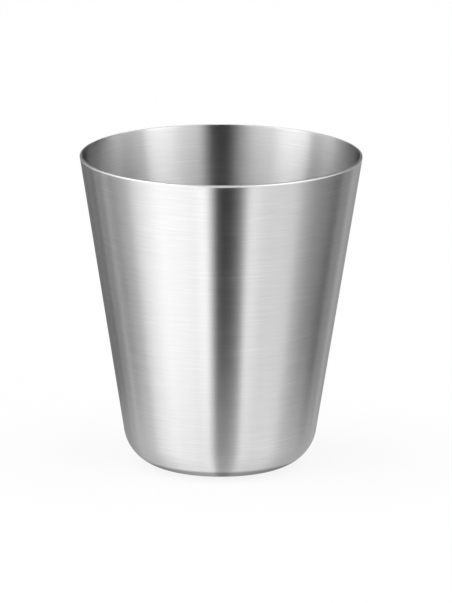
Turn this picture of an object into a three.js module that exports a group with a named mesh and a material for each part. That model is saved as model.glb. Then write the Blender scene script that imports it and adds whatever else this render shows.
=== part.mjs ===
// Steel shot cup: a tapered single-wall cup of brushed stainless sheet with a polished lip.
// Millimetres, +Z up. The origin is the middle of the foot, on the surface that the cup stands on.
// Every piece is round about Z: its outline lies in the (radius, height) half plane and is turned once about Z.
// The pressed base, the wall and the lip meet at flat ring faces, where the real cup is welded and ground flush.

import * as THREE from 'three';

// Driving dimensions of the cup, measured on the outside
const LIP_DIAMETER = 50; // where the line of the wall reaches the top of the lip
const FOOT_DIAMETER = 32.1; // where the line of the wall would meet the table
const CUP_HEIGHT = 55.9; // table to the top of the lip
const SHEET_THICKNESS = 0.45; // all three pieces are of one gauge

// Driving dimensions of the pressed base
const CORNER_RADIUS = 7.3; // outside, between the wall and the standing ring
const STANDING_RING_WIDTH = 2.2; // flat ring that touches the table
const MIDDLE_RISE = 0.6; // how far the middle of the base is pressed up
const UPSTAND_LENGTH = 1.6; // straight wall above the corner, up to the weld

// Driving dimensions of the lip
const LIP_HEIGHT = 0.4; // polished ring, weld to top
const LIP_OUTER_ROUND = 0.29;
const LIP_INNER_ROUND = 0.1;
const LIP_LAND = 0.02; // flat left on top between the two rounds

// How finely the round shapes are divided
const TURN_STEPS = 72;
const CORNER_STEPS = 9;
const RISE_STEPS = 6;
const LIP_STEPS = 5;

// The taper: the wall leans outwards by this angle from the vertical
const wallLean = Math.atan((LIP_DIAMETER - FOOT_DIAMETER) / 2 / CUP_HEIGHT);
const sheetAcross = SHEET_THICKNESS / Math.cos(wallLean);

const outerWallRadius = (height) => FOOT_DIAMETER / 2 + height * Math.tan(wallLean);
const innerWallRadius = (height) => outerWallRadius(height) - sheetAcross;

// Centre of the corner's arcs, which touch the table plane and the line of the wall
const cornerCentre = new THREE.Vector2(
  outerWallRadius(CORNER_RADIUS) - CORNER_RADIUS / Math.cos(wallLean),
  CORNER_RADIUS,
);
const innerCornerRadius = CORNER_RADIUS - SHEET_THICKNESS;
const middleRadius = cornerCentre.x - STANDING_RING_WIDTH;

// Heights of the two welds
const baseWeldHeight = CORNER_RADIUS * (1 - Math.sin(wallLean)) + UPSTAND_LENGTH;
const lipWeldHeight = CUP_HEIGHT - LIP_HEIGHT;

// A mesh turned about Z from an outline that runs anticlockwise in the (radius, height) plane.
// The outline closes on itself, or starts and ends on the axis.
function turned(name, outline, material) {
  const geometry = new THREE.LatheGeometry(outline, TURN_STEPS);
  geometry.rotateX(Math.PI / 2);
  const mesh = new THREE.Mesh(geometry, material);
  mesh.name = name;
  return mesh;
}

// An outline closed by coming back to its first point
const ringOutline = (points) => [...points, points[0]];

// Points along an arc, both ends included; angles are measured from +radius towards +height
function arcPoints(centre, radius, startAngle, endAngle, steps) {
  const clockwise = endAngle < startAngle;
  const arc = new THREE.EllipseCurve(centre.x, centre.y, radius, radius, startAngle, endAngle, clockwise);
  return arc.getPoints(steps);
}

// The raised middle: a level S curve from the axis down to the standing ring, at the given height above the table
function middlePoints(height) {
  const half = middleRadius / 2;
  return new THREE.CubicBezierCurve(
    new THREE.Vector2(0, height + MIDDLE_RISE),
    new THREE.Vector2(half, height + MIDDLE_RISE),
    new THREE.Vector2(half, height),
    new THREE.Vector2(middleRadius, height),
  ).getPoints(RISE_STEPS);
}

// Pressed base: raised middle, flat standing ring, rounded corner and a short upstand to the weld
function makeBasePan() {
  const tableSide = -Math.PI / 2;
  const outline = [
    ...middlePoints(0),
    ...arcPoints(cornerCentre, CORNER_RADIUS, tableSide, -wallLean, CORNER_STEPS),
    new THREE.Vector2(outerWallRadius(baseWeldHeight), baseWeldHeight),
    new THREE.Vector2(innerWallRadius(baseWeldHeight), baseWeldHeight),
    ...arcPoints(cornerCentre, innerCornerRadius, -wallLean, tableSide, CORNER_STEPS),
    ...middlePoints(SHEET_THICKNESS).reverse(),
  ];
  const steel = new THREE.MeshStandardMaterial({ color: 0xb9b9b9, roughness: 0.35, metalness: 1 });
  return turned('base_pan', outline, steel);
}

// Wall: one straight tapered sheet between the two welds
function makeCupWall() {
  const outline = ringOutline([
    new THREE.Vector2(outerWallRadius(baseWeldHeight), baseWeldHeight),
    new THREE.Vector2(outerWallRadius(lipWeldHeight), lipWeldHeight),
    new THREE.Vector2(innerWallRadius(lipWeldHeight), lipWeldHeight),
    new THREE.Vector2(innerWallRadius(baseWeldHeight), baseWeldHeight),
  ]);
  const steel = new THREE.MeshStandardMaterial({ color: 0xb9b9b9, roughness: 0.32, metalness: 1 });
  return turned('cup_wall', outline, steel);
}

// Lip: a ring of the same sheet, rounded over on its outer and inner top edges.
// The two rounds are limited together, so that they fit in the sheet and in the ring's height.
function makeLipRing() {
  const leanShare = Math.sin(wallLean);
  const roundsAcross = LIP_OUTER_ROUND * (1 + leanShare) + LIP_INNER_ROUND * (1 - leanShare);
  const roundsTall = LIP_OUTER_ROUND * (1 + leanShare);
  const limit = Math.min(1, (SHEET_THICKNESS - LIP_LAND) / roundsAcross, (LIP_HEIGHT - LIP_LAND) / roundsTall);
  const outerRound = LIP_OUTER_ROUND * limit;
  const innerRound = LIP_INNER_ROUND * limit;
  const outerCentre = new THREE.Vector2(
    outerWallRadius(CUP_HEIGHT - outerRound) - outerRound / Math.cos(wallLean),
    CUP_HEIGHT - outerRound,
  );
  const innerCentre = new THREE.Vector2(
    innerWallRadius(CUP_HEIGHT - innerRound) + innerRound / Math.cos(wallLean),
    CUP_HEIGHT - innerRound,
  );
  const topSide = Math.PI / 2;
  const outline = ringOutline([
    new THREE.Vector2(outerWallRadius(lipWeldHeight), lipWeldHeight),
    ...arcPoints(outerCentre, outerRound, -wallLean, topSide, LIP_STEPS),
    ...arcPoints(innerCentre, innerRound, topSide, Math.PI - wallLean, LIP_STEPS),
    new THREE.Vector2(innerWallRadius(lipWeldHeight), lipWeldHeight),
  ]);
  const polishedSteel = new THREE.MeshStandardMaterial({ color: 0xd6d6d6, roughness: 0.12, metalness: 1 });
  return turned('lip_ring', outline, polishedSteel);
}

const shotCup = new THREE.Group();
shotCup.name = 'shot_cup';
shotCup.add(makeBasePan(), makeCupWall(), makeLipRing());

export default shotCup;
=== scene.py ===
# %% [markdown]
# # A steel shot cup
# The cup is one thin sheet of stainless steel: a pressed base, a tapered wall and a polished lip.
# Its looks are almost all finish and light. The sheet is brushed round and round, so it smears every
# reflection up and down and leaves it sharp from side to side. The CAD model is loaded first, because
# each piece made below stands for one of its nodes, in the same place and at the same size.

# %% Load the frame
import math

import bpy
from mathutils import Matrix, Vector


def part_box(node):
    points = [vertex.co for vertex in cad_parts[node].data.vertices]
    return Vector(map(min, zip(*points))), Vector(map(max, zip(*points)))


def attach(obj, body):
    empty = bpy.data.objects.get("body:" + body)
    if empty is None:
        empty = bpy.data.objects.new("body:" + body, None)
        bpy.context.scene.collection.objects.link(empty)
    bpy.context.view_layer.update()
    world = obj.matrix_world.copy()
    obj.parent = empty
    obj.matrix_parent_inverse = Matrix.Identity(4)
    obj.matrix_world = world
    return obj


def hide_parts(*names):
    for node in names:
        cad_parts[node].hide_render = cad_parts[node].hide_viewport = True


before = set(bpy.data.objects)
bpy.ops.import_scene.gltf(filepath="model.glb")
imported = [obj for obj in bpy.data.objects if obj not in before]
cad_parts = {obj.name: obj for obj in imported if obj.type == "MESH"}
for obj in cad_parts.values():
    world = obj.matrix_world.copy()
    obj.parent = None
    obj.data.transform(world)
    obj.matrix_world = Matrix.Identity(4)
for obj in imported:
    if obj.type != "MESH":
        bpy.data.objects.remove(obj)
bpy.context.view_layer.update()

# %% [markdown]
# ## The lines of the cup
# A turned piece needs only its outline on one side of the axis. Two points of the wall fix the taper:
# where it leaves the base and where it meets the lip. Both are read from the CAD nodes, so the pieces
# meet where those do. The sheet's thickness and the radii aren't in a box, so they are written here,
# in metres.

# %% Outline measures
SHEET = 0.00045
CORNER_RADIUS = 0.0073
STANDING_RING_WIDTH = 0.0022
MIDDLE_RISE = 0.0006
LIP_OUTER_ROUND = 0.00029
LIP_INNER_ROUND = 0.0001

base_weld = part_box("base_pan")[1]
lip_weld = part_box("cup_wall")[1]
cup_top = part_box("lip_ring")[1].z

taper = (lip_weld.x - base_weld.x) / (lip_weld.z - base_weld.z)
lean = math.atan(taper)
sheet_across = SHEET / math.cos(lean)


def outer_radius(height):
    """Radius of the wall's outside at a height."""
    return base_weld.x + taper * (height - base_weld.z)


def inner_radius(height):
    """Radius of the wall's inside at a height."""
    return outer_radius(height) - sheet_across


def arc(centre, radius, start, end, steps):
    """Points of an arc in the (radius, height) plane, both ends included, with angles in radians."""
    angles = [start + (end - start) * step / steps for step in range(steps + 1)]
    return [(centre[0] + radius * math.cos(a), centre[1] + radius * math.sin(a)) for a in angles]


print("wall leans", round(math.degrees(lean), 2), "degrees; sheet", 1000 * SHEET, "mm")

# %% [markdown]
# ## Turning a piece ring by ring
# Every piece of the cup is round. Spin could sweep an outline about the axis, but it leaves a seam to
# merge. Here a circle is added and extruded, and each new ring is moved to its height and scaled to its
# radius, all along the outline, so the rings come out closed. The outline of a ring comes back to its
# start, and its two open loops are bridged. A dish ends near the axis instead, and its two small holes
# are filled and poked. Corners sharper than a smooth bend stay crisp, because shading by angle splits
# the normals there.

# %% Turned pieces
AROUND = 256
SMOOTH_ANGLE = math.radians(35)


def turned_piece(name, outline, is_dish):
    """A closed round piece about Z, modelled by extruding a circle along the outline."""
    bpy.ops.object.select_all(action="DESELECT")
    radius, height = outline[0]
    bpy.ops.mesh.primitive_circle_add(
        vertices=AROUND, radius=radius, fill_type="NOTHING", enter_editmode=True,
    )
    bpy.ops.mesh.select_all(action="SELECT")
    bpy.ops.transform.translate(value=(0, 0, height))
    for next_radius, next_height in outline[1:]:
        bpy.ops.mesh.extrude_region_move(TRANSFORM_OT_translate={"value": (0, 0, next_height - height)})
        share = next_radius / radius
        bpy.ops.transform.resize(value=(share, share, 1), center_override=(0, 0, next_height))
        radius, height = next_radius, next_height
    bpy.ops.mesh.select_all(action="DESELECT")
    bpy.ops.mesh.select_non_manifold(
        use_wire=False, use_multi_face=False, use_non_contiguous=False, use_verts=False,
    )
    if is_dish:
        bpy.ops.mesh.fill_holes(sides=0)
        bpy.ops.mesh.poke()
    else:
        bpy.ops.mesh.bridge_edge_loops()
    bpy.ops.mesh.select_all(action="SELECT")
    bpy.ops.mesh.normals_make_consistent(inside=False)
    bpy.ops.object.mode_set(mode="OBJECT")
    piece = bpy.context.active_object
    piece.name = name
    piece.data.name = name
    bpy.ops.object.shade_smooth_by_angle(angle=SMOOTH_ANGLE)
    size = [round(1000 * side, 2) for side in piece.dimensions]
    print(name, len(piece.data.polygons), "faces, size in mm", size)
    return piece


print("a ring has", AROUND, "points")

# %% [markdown]
# ## The wall
# The wall is a straight tapered tube of sheet. It could be a cone with a Solidify modifier, but the lip
# and the base have to meet it edge to edge, so both of its faces are drawn. A few rings along its
# height are enough, as a cone is straight that way.

# %% Brushed wall
WALL_RINGS = 12

wall_rise = lip_weld.z - base_weld.z
wall_heights = [base_weld.z + wall_rise * ring / WALL_RINGS for ring in range(WALL_RINGS + 1)]
wall_outline = [(outer_radius(z), z) for z in wall_heights]
wall_outline += [(inner_radius(z), z) for z in reversed(wall_heights)]
brushed_wall = turned_piece("brushed_wall", wall_outline, is_dish=False)

# %% [markdown]
# ## The base
# The base is pressed from the same sheet: a short upstand that carries on the wall, a round corner, a
# flat ring to stand on and a middle pushed up a little, so that the cup can't rock. A bevelled disc
# could give the corner, but then the sheet would be thinner in some places than in others. Here the
# underside and the inside are one curve, drawn twice, a sheet apart. One more ring of points, just
# inside the corner, holds the shading of the standing ring flat.

# %% Pressed base
CORNER_STEPS = 28
MIDDLE_STEPS = 16
CENTRE_HOLE = 0.0004
HOLDING_EDGE = 0.0001

corner_centre = (outer_radius(CORNER_RADIUS) - CORNER_RADIUS / math.cos(lean), CORNER_RADIUS)
middle_radius = corner_centre[0] - STANDING_RING_WIDTH
middle_span = middle_radius - CENTRE_HOLE


def middle_height(radius):
    """Height of the raised middle over the standing ring: level at the axis and again at the ring."""
    share = radius / middle_radius
    return MIDDLE_RISE * (1 - share * share) ** 2


def base_side(offset):
    """One face of the base from the axis out to the weld, offset inwards by part of the sheet."""
    radii = [CENTRE_HOLE + middle_span * step / MIDDLE_STEPS for step in range(MIDDLE_STEPS + 1)]
    points = [(radius, offset + middle_height(radius)) for radius in radii]
    points += [(corner_centre[0] - HOLDING_EDGE, offset)]
    points += arc(corner_centre, CORNER_RADIUS - offset, -math.pi / 2, -lean, CORNER_STEPS)
    points += [(outer_radius(base_weld.z) - offset / math.cos(lean), base_weld.z)]
    return points


base_outline = base_side(0) + list(reversed(base_side(SHEET)))
pressed_base = turned_piece("pressed_base", base_outline, is_dish=True)

# %% [markdown]
# ## The lip
# The cut edge of the sheet is polished until it is kind to the mouth: rounded over well on the outside,
# and just broken on the inside. A Bevel modifier would round both alike, so the two rounds are drawn as
# arcs. Only the top few tenths of a millimetre are polished, so the lip is its own piece with its own
# finish. Its rounds have as many steps as the CAD lip's, so that neither is wider than the other.

# %% Polished lip
LIP_STEPS = 5

outer_round_centre = (
    outer_radius(cup_top - LIP_OUTER_ROUND) - LIP_OUTER_ROUND / math.cos(lean),
    cup_top - LIP_OUTER_ROUND,
)
inner_round_centre = (
    inner_radius(cup_top - LIP_INNER_ROUND) + LIP_INNER_ROUND / math.cos(lean),
    cup_top - LIP_INNER_ROUND,
)
lip_outline = [(outer_radius(lip_weld.z), lip_weld.z)]
lip_outline += arc(outer_round_centre, LIP_OUTER_ROUND, -lean, math.pi / 2, LIP_STEPS)
lip_outline += arc(inner_round_centre, LIP_INNER_ROUND, math.pi / 2, math.pi - lean, LIP_STEPS)
lip_outline += [(inner_radius(lip_weld.z), lip_weld.z)]
polished_lip = turned_piece("polished_lip", lip_outline, is_dish=False)

# %% [markdown]
# ## Writing shaders as sums
# A material is a graph of nodes. Instead of wiring each Math node by hand, a socket is wrapped so that
# ordinary Python sums on it add those nodes, and one function makes every other kind of node.

# %% Shader helper
class Value:
    """A shader socket that can be used in sums. Each sum adds a Math node to the same tree."""

    def __init__(self, tree, socket):
        self.tree = tree
        self.socket = socket

    def __add__(self, other):
        return math_node(self.tree, "ADD", self, other)

    def __radd__(self, other):
        return math_node(self.tree, "ADD", other, self)

    def __sub__(self, other):
        return math_node(self.tree, "SUBTRACT", self, other)

    def __rsub__(self, other):
        return math_node(self.tree, "SUBTRACT", other, self)

    def __mul__(self, other):
        return math_node(self.tree, "MULTIPLY", self, other)

    def __rmul__(self, other):
        return math_node(self.tree, "MULTIPLY", other, self)

    def __truediv__(self, other):
        return math_node(self.tree, "DIVIDE", self, other)

    def __rtruediv__(self, other):
        return math_node(self.tree, "DIVIDE", other, self)

    def __pow__(self, other):
        return math_node(self.tree, "POWER", self, other)


def make_node(tree, kind, settings=None, inputs=None):
    """A node of any kind: its settings first, then a value or a link for each input.

    Returns its outputs by name.
    """
    node = tree.nodes.new(kind)
    for key, setting in (settings or {}).items():
        if key == "stops":
            while len(node.color_ramp.elements) < len(setting):
                node.color_ramp.elements.new(1.0)
            for element, (position, shade) in zip(node.color_ramp.elements, setting):
                element.position = position
                element.color = (shade, shade, shade, 1)
        else:
            setattr(node, key, setting)
    for key, given in (inputs or {}).items():
        if isinstance(given, Value):
            tree.links.new(given.socket, node.inputs[key])
        else:
            node.inputs[key].default_value = given
    return {socket.name: Value(tree, socket) for socket in node.outputs}


def math_node(tree, operation, left, right=0.0):
    """One Math node, also for what has no sign in Python, such as the larger of two values."""
    return make_node(tree, "ShaderNodeMath", {"operation": operation}, {0: left, 1: right})["Value"]


def fade(tree, value, start, end, at_start, at_end):
    """A value that goes straight from one strength to another between two places, and holds outside."""
    inputs = {"Value": value, "From Min": start, "From Max": end, "To Min": at_start, "To Max": at_end}
    return make_node(tree, "ShaderNodeMapRange", None, inputs)["Result"]


# %% Materials and places
def new_material(name):
    """An empty material, and the tree that its nodes go in."""
    material = bpy.data.materials.new(name)
    material.use_nodes = True
    material.node_tree.nodes.clear()
    return material, material.node_tree


def finish_material(tree, surface):
    """Connects the last shader to the material's output."""
    make_node(tree, "ShaderNodeOutputMaterial", None, {"Surface": surface})


def grey(tree, shade):
    """A colour from one value."""
    inputs = {"Red": shade, "Green": shade, "Blue": shade}
    return make_node(tree, "ShaderNodeCombineColor", None, inputs)["Color"]


def mix_shaders(tree, share, first, second):
    """Two shaders in one: the share is how much of the second shows."""
    return make_node(tree, "ShaderNodeMixShader", None, {0: share, 1: first, 2: second})["Shader"]


def place_on_object(tree):
    """Where a point is on its object, in metres, as the values X, Y and Z."""
    place = make_node(tree, "ShaderNodeTexCoord")["Object"]
    return make_node(tree, "ShaderNodeSeparateXYZ", None, {"Vector": place})


def off_axis(place):
    """How far a place is from the object's Z axis, in metres."""
    return (place["X"] * place["X"] + place["Y"] * place["Y"]) ** 0.5


# %% [markdown]
# ## Brushed steel
# A brushing wheel leaves fine lines that run round the cup. A picture of them would show its seam and
# its grid, so they are drawn by noise. Two measures describe any spot on the sheet: its position in
# plan, and how far it is along the outline, for which height plus radius is a good stand-in, on the
# wall, round the corner and across the base alike. Noise that is stretched in plan and squeezed along
# the outline makes lines. They change the colour and the roughness a little and tip the surface by a
# very small bump, and their crests scatter some light, so that they show in the dark bands too.

# %% Brush lines
COARSE_LINES = {"length": 0.006, "width": 0.0002, "detail": 2.0}
FINE_LINES = {"length": 0.003, "width": 0.00006, "detail": 1.0}
SCRATCHES = {"length": 0.009, "width": 0.00014, "detail": 0.0}
COARSE_SHARE = 0.6
SCRATCHED_FROM = 0.66
SCRATCHED_FULLY = 0.76
NOISE_MIDDLE = 0.5


def brush_noise(tree, length, width, detail):
    """Noise in lines round the cup, from 0 to 1, of about this length and width in metres."""
    place = place_on_object(tree)
    along = (place["Z"] + off_axis(place)) / width
    stretched = {"X": place["X"] / length, "Y": place["Y"] / length, "Z": along}
    vector = make_node(tree, "ShaderNodeCombineXYZ", None, stretched)["Vector"]
    inputs = {"Vector": vector, "Scale": 1.0, "Detail": detail}
    return make_node(tree, "ShaderNodeTexNoise", None, inputs)["Fac"]


def brush_lines(tree):
    """The fine lines all over the sheet, from 0 to 1."""
    coarse = brush_noise(tree, **COARSE_LINES)
    fine = brush_noise(tree, **FINE_LINES)
    return coarse * COARSE_SHARE + fine * (1 - COARSE_SHARE)


def scratch_lines(tree):
    """The few longer lines that stand out: 1 in a scratch and 0 elsewhere."""
    return fade(tree, brush_noise(tree, **SCRATCHES), SCRATCHED_FROM, SCRATCHED_FULLY, 0.0, 1.0)


print("fine brush lines", 1000 * FINE_LINES["width"], "mm wide")

# %% [markdown]
# ## The smear and the corner
# Fine lines alone would need far more samples to smear a reflection, so the metal's anisotropy does
# that, turned a quarter so that it smears up and down. Steel also dims where it is seen at a low
# angle, short of the very edge, and the specular tint of a metal sets how much.
#
# In the photograph the bands of light run straight down through the round corner, because the brushing
# there smears them further than anywhere else. A broad swell in the same bump has that effect: it
# holds the shading upright. Low on the corner the brush lines go on, but from a line there down to the
# table the base colour is painted darker: painted shade for the shadowed table under the foot, which
# the corner mirrors.

# %% Brushed steel
STEEL_SHADE = 0.66
LINE_SHADE = 0.16
SCRATCH_SHADE = 0.06
LOW_ANGLE_SHADE = (0.65, 0.65, 0.65, 1)
STEEL_ROUGHNESS = 0.3
LINE_ROUGHNESS = 0.12
LINE_SCATTERING = 0.4
LINE_DEPTH = 0.000003
SMEAR = 1.0
SMEAR_TURN = 0.25
CORNER_HELD_UPRIGHT = 0.6
UPRIGHT_DOWN_TO = 0.0003
# Painted shade: between these two heights and below them the base colour is darkened, to half at the lower
# one, in place of the shadowed table under the foot that the corner mirrors. The brush lines go on.
PAINTED_SHADE_FULL_BELOW = 0.0015
PAINTED_SHADE_NONE_ABOVE = 0.002
PAINTED_SHADE_FACTOR = 0.5


def corner_swell(tree, height):
    """Height of the broad bump: it grows with the square of the angle that the corner has turned."""
    held_height = math_node(tree, "MAXIMUM", height, UPRIGHT_DOWN_TO)
    turned = math_node(tree, "ARCSINE", 1 - held_height / CORNER_RADIUS) - lean
    turned = math_node(tree, "MAXIMUM", turned, 0.0)
    return turned * turned * (CORNER_HELD_UPRIGHT * CORNER_RADIUS / 2)


def brushed_metal(tree):
    """Stainless sheet brushed round the cup: a Principled metal with its smear fixed on the shader."""
    height = place_on_object(tree)["Z"]
    lines = brush_lines(tree)
    crests = math_node(tree, "MAXIMUM", lines - NOISE_MIDDLE, 0.0)
    # Painted shade: this share darkens the base colour towards the table, for the mirrored shadow under
    # the foot.
    brushed = fade(tree, height, PAINTED_SHADE_FULL_BELOW, PAINTED_SHADE_NONE_ABOVE, PAINTED_SHADE_FACTOR, 1.0)
    line_shade = STEEL_SHADE + (lines - NOISE_MIDDLE) * LINE_SHADE
    shade = (line_shade + scratch_lines(tree) * SCRATCH_SHADE) * brushed
    relief = {"Strength": 1.0, "Distance": 1.0, "Height": lines * LINE_DEPTH + corner_swell(tree, height)}
    return make_node(tree, "ShaderNodeBsdfPrincipled", None, {
        "Base Color": grey(tree, shade),
        "Metallic": 1 - crests * LINE_SCATTERING,
        "Specular Tint": LOW_ANGLE_SHADE,
        "Roughness": STEEL_ROUGHNESS + (lines - NOISE_MIDDLE) * LINE_ROUGHNESS,
        "Anisotropic": SMEAR,
        "Anisotropic Rotation": SMEAR_TURN,
        "Normal": make_node(tree, "ShaderNodeBump", None, relief)["Normal"],
    })["BSDF"]


def brushed_steel(name):
    """The finish of the wall and the base."""
    material, tree = new_material(name)
    finish_material(tree, brushed_metal(tree))
    return material


wall_steel = brushed_steel("wall_steel")
base_steel = brushed_steel("base_steel")
brushed_wall.data.materials.append(wall_steel)
pressed_base.data.materials.append(base_steel)
# Prints the height below which the painted shade is full; the brush lines go on below it.
print("brushed steel down to", 1000 * PAINTED_SHADE_FULL_BELOW, "mm above the table")

# %% [markdown]
# ## Polished steel
# Only the rounded edge of the lip is buffed. Its inner face is brushed with the rest of the inside. Two
# materials on one piece could do that, but they would part along a row of faces. So the lip mixes two
# shaders, and where a point is on the sheet chooses between them.

# %% Polished steel
LIP_SHADE = 0.78
LIP_ROUGHNESS = 0.46
LIP_TRACES = {"length": 0.008, "width": 0.00008, "detail": 1.0}
TRACE_STRENGTH = 0.06

sheet_middle = (inner_radius(lip_weld.z) + outer_radius(cup_top)) / 2


def polished_metal(tree):
    """Buffed steel with only a trace of lines left."""
    traces = (brush_noise(tree, **LIP_TRACES) - NOISE_MIDDLE) * TRACE_STRENGTH
    return make_node(tree, "ShaderNodeBsdfPrincipled", None, {
        "Base Color": grey(tree, LIP_SHADE + traces),
        "Metallic": 1.0,
        "Roughness": LIP_ROUGHNESS + traces,
    })["BSDF"]


def polished_edge(name):
    """The finish of the lip: polished on its edge and brushed on its inner face."""
    material, tree = new_material(name)
    place = place_on_object(tree)
    is_inner = math_node(tree, "LESS_THAN", off_axis(place), sheet_middle)
    is_below_round = math_node(tree, "LESS_THAN", place["Z"], cup_top - LIP_INNER_ROUND / 2)
    is_brushed = is_inner * is_below_round
    finish_material(tree, mix_shaders(tree, is_brushed, polished_metal(tree), brushed_metal(tree)))
    return material


lip_steel = polished_edge("lip_steel")
polished_lip.data.materials.append(lip_steel)
print("polished from", round(1000 * lip_weld.z, 2), "to", round(1000 * cup_top, 2), "mm above the table")

# %% [markdown]
# ## Joining the frame
# Each piece rides on the cup's one body and stands for its CAD node.

# %% Ride on the frame
for piece, node, slot in (
    (brushed_wall, "cup_wall", "wall_steel"),
    (pressed_base, "base_pan", "base_steel"),
    (polished_lip, "lip_ring", "lip_steel"),
):
    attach(piece, "root")
    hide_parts(node)
    print(piece.name, "stands for", node)

# %% [markdown]
# ## The light tent
# Metal shows what stands round it. Lamps would leave small hot spots on it, so a photographer of metal
# builds a tent instead: lit white cloth on the left and the right, and a dark slit in front for the
# camera. Here the tent is a drum of light on a funnel, under a roof. The brightness of each goes by
# the bearing from the cup: 0 degrees is towards the camera, and positive is to the camera's right.
#
# The outside of the cup leans out and mirrors the funnel, below the table's level. The inside mirrors
# the drum, above it, whose cloth is folded back into flaps beside the slit. The lip mirrors the roof,
# which is brightest to the left and the right of the back, and the lip's two ends mirror a dim band
# of the drum straight behind the cup.

# %% Tent
TENT_RADIUS = 1.6
TENT_HEIGHT = 2.8
TENT_SIDES = 128
FUNNEL_DEPTH = 1.6
BRIGHTEST = 2.5
FUNNEL_BANDS = (
    (-180, 0.5), (-150, 0.32), (-140, 0.47), (-132, 0.05), (-127, 0.8), (-120, 0.0), (-113, 0.8),
    (-106, 0.0), (-98, 0.48), (-85, 0.64), (-75, 1.1), (-55, 1.57), (-25, 1.48), (-14, 2.0), (-4, 0.0),
    (19, 0.0), (26, 1.3), (45, 0.77), (70, 0.78), (90, 0.26), (104, 0.17), (118, 0.0), (124, 0.55),
    (134, 0.22), (142, 0.95), (150, 0.7), (165, 0.7), (180, 0.5),
)
DRUM_BANDS = (
    (-180, 0.2), (-170, 0.2), (-162, 0.0), (-130, 0.0), (-106, 1.45), (-83, 1.25), (-80, 2.5),
    (-50, 2.0), (-46, 1.55), (-30, 1.5), (-8, 0.0), (9, 0.0), (20, 1.45), (38, 1.6), (42, 2.05),
    (67, 2.3), (70, 1.2), (100, 1.15), (122, 0.0), (162, 0.0), (170, 0.2), (180, 0.2),
)
ROOF_BANDS = (
    (-180, 0.0), (-150, 0.0), (-142, 2.2), (-110, 2.2), (-90, 0.5), (-25, 0.5), (-8, 0.0), (9, 0.0),
    (25, 0.5), (90, 0.5), (110, 2.2), (142, 2.2), (150, 0.0), (180, 0.0),
)


def banded_glow(name, bands):
    """Light whose strength goes by the bearing from the cup, spread over a ramp from 0 to 1."""
    material, tree = new_material(name)
    place = place_on_object(tree)
    bearing = math_node(tree, "ARCTAN2", place["X"], place["Y"] * -1)
    along_ramp = bearing / (2 * math.pi) + 0.5
    stops = [(degrees / 360 + 0.5, strength / BRIGHTEST) for degrees, strength in bands]
    shade = make_node(tree, "ShaderNodeValToRGB", {"stops": stops}, {0: along_ramp})["Color"]
    glow = {"Color": shade, "Strength": BRIGHTEST}
    finish_material(tree, make_node(tree, "ShaderNodeEmission", None, glow)["Emission"])
    material.cycles.emission_sampling = "NONE"
    return material


def stage_only(name, bands):
    """Names the new piece, lights it and hides it from the camera."""
    bpy.ops.object.transform_apply(location=True, rotation=False, scale=False)
    piece = bpy.context.active_object
    piece.name = name
    piece.data.materials.append(banded_glow(name, bands))
    piece.visible_camera = False
    print(name, "is part of the studio, with", len(bands), "stops of light")


bpy.ops.object.select_all(action="DESELECT")
bpy.ops.mesh.primitive_cylinder_add(
    vertices=TENT_SIDES, radius=TENT_RADIUS, depth=TENT_HEIGHT, end_fill_type="NOTHING",
    location=(0, 0, TENT_HEIGHT / 2),
)
stage_only("tent_drum", DRUM_BANDS)

bpy.ops.object.select_all(action="DESELECT")
bpy.ops.mesh.primitive_cone_add(
    vertices=TENT_SIDES, radius1=0, radius2=TENT_RADIUS, depth=FUNNEL_DEPTH, end_fill_type="NOTHING",
    location=(0, 0, -FUNNEL_DEPTH / 2),
)
stage_only("tent_funnel", FUNNEL_BANDS)

bpy.ops.object.select_all(action="DESELECT")
bpy.ops.mesh.primitive_circle_add(
    vertices=TENT_SIDES, radius=TENT_RADIUS, fill_type="NGON", location=(0, 0, TENT_HEIGHT),
)
stage_only("tent_roof", ROOF_BANDS)

# %% [markdown]
# ## The table
# A plain white table takes the cup's soft shadow. It glows for the camera and for the metal, so that it
# is white all over, but a little less round the foot, where the shadow is. In the metal only the part
# next to the cup is mirrored, and faintly: further out the tent shows instead, as it does when the cup
# stands on a small stand.

# %% Table
TABLE_SIZE = 8.0
TABLE_WHITE = (0.97, 0.97, 0.97, 1)
PURE_WHITE = (1, 1, 1, 1)
GLOW_AT_FOOT = 0.85
GLOW_FAR_OUT = 0.98
GLOW_START = 0.016
GLOW_END = 0.05
MIRRORED_SHARE = 0.55
MIRRORED_START = 0.035
MIRRORED_END = 0.057


def white_table(name):
    """White cloth that glows for the camera and the metal, and is clear to the metal further out."""
    material, tree = new_material(name)
    radius = off_axis(place_on_object(tree))
    rays = make_node(tree, "ShaderNodeLightPath")
    is_glossy = rays["Is Glossy Ray"]
    is_seen = rays["Is Camera Ray"] + is_glossy + rays["Is Transmission Ray"]
    glowing = fade(tree, radius, GLOW_START, GLOW_END, GLOW_AT_FOOT, GLOW_FAR_OUT)
    unmirrored = fade(tree, radius, MIRRORED_START, MIRRORED_END, 1 - MIRRORED_SHARE, 1.0)
    cloth = make_node(tree, "ShaderNodeBsdfDiffuse", None, {"Color": TABLE_WHITE})["BSDF"]
    white = make_node(tree, "ShaderNodeEmission", None, {"Color": PURE_WHITE, "Strength": 1.0})["Emission"]
    clear = make_node(tree, "ShaderNodeBsdfTransparent")["BSDF"]
    top = mix_shaders(tree, is_seen * glowing, cloth, white)
    finish_material(tree, mix_shaders(tree, is_glossy * unmirrored, top, clear))
    material.cycles.emission_sampling = "NONE"
    return material


bpy.ops.object.select_all(action="DESELECT")
bpy.ops.mesh.primitive_plane_add(size=TABLE_SIZE)
table = bpy.context.active_object
table.name = "table"
table.data.materials.append(white_table("table_white"))
print("table", TABLE_SIZE, "m across, mirrored out to", 1000 * MIRRORED_END, "mm")

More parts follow.
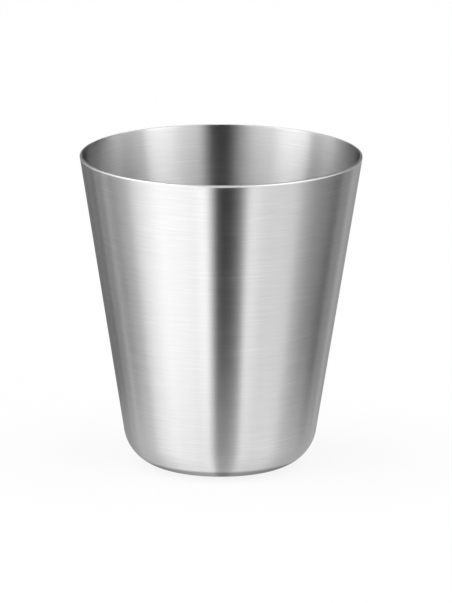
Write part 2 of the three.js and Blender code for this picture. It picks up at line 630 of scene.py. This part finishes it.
# %% [markdown]
# ## The world
# A low camera sees past the table's edge, to a plain white world. A picture of a sky could light the
# cup too, but the tent already gives it all that it mirrors. The Standard view shows colours as they
# are.

# %% World
WORLD_STRENGTH = 1.0

world = bpy.data.worlds.new("studio")
bpy.context.scene.world = world
world.use_nodes = True
background = world.node_tree.nodes["Background"]
background.inputs["Color"].default_value = PURE_WHITE
background.inputs["Strength"].default_value = WORLD_STRENGTH
bpy.context.scene.view_settings.view_transform = "Standard"
print("white world of strength", WORLD_STRENGTH)

# %% [markdown]
# ## The camera
# The photograph was taken from far off with a long lens, a little above the cup. Its frame is 452 by
# 603 pixels, and the place of the cup's middle in it sets where the camera aims. The sensor's width
# lies along the longer side of the frame, which is its height.

# %% Camera
IMAGE_WIDTH = 452
IMAGE_HEIGHT = 603
SENSOR = 36.0
CAMERA_DISTANCE = 1.851
CAMERA_ELEVATION = math.radians(13.42)
CAMERA_ROLL = math.radians(0.23)
CUP_CENTRE_PIXEL = (220.55, 308.67)
PIXELS_PER_METRE = 5651.0
CLIP_END = 20

back = Vector((0, -math.cos(CAMERA_ELEVATION), math.sin(CAMERA_ELEVATION)))
level = Vector((1, 0, 0))
right = level * math.cos(CAMERA_ROLL) + back.cross(level) * math.sin(CAMERA_ROLL)
up = back.cross(right)
cup_centre = Vector((0, 0, cup_top / 2))
aim_right = (IMAGE_WIDTH / 2 - CUP_CENTRE_PIXEL[0]) / PIXELS_PER_METRE
aim_up = (CUP_CENTRE_PIXEL[1] - IMAGE_HEIGHT / 2) / PIXELS_PER_METRE
aim = cup_centre + right * aim_right + up * aim_up

bpy.ops.object.camera_add(location=aim + back * CAMERA_DISTANCE)
camera = bpy.context.active_object
camera.rotation_euler = Matrix((right, up, back)).transposed().to_euler()
camera.data.sensor_width = SENSOR
camera.data.lens = PIXELS_PER_METRE * CAMERA_DISTANCE * SENSOR / IMAGE_HEIGHT
camera.data.clip_end = CLIP_END
bpy.context.scene.camera = camera
print("lens", round(camera.data.lens), "mm at", CAMERA_DISTANCE, "m")
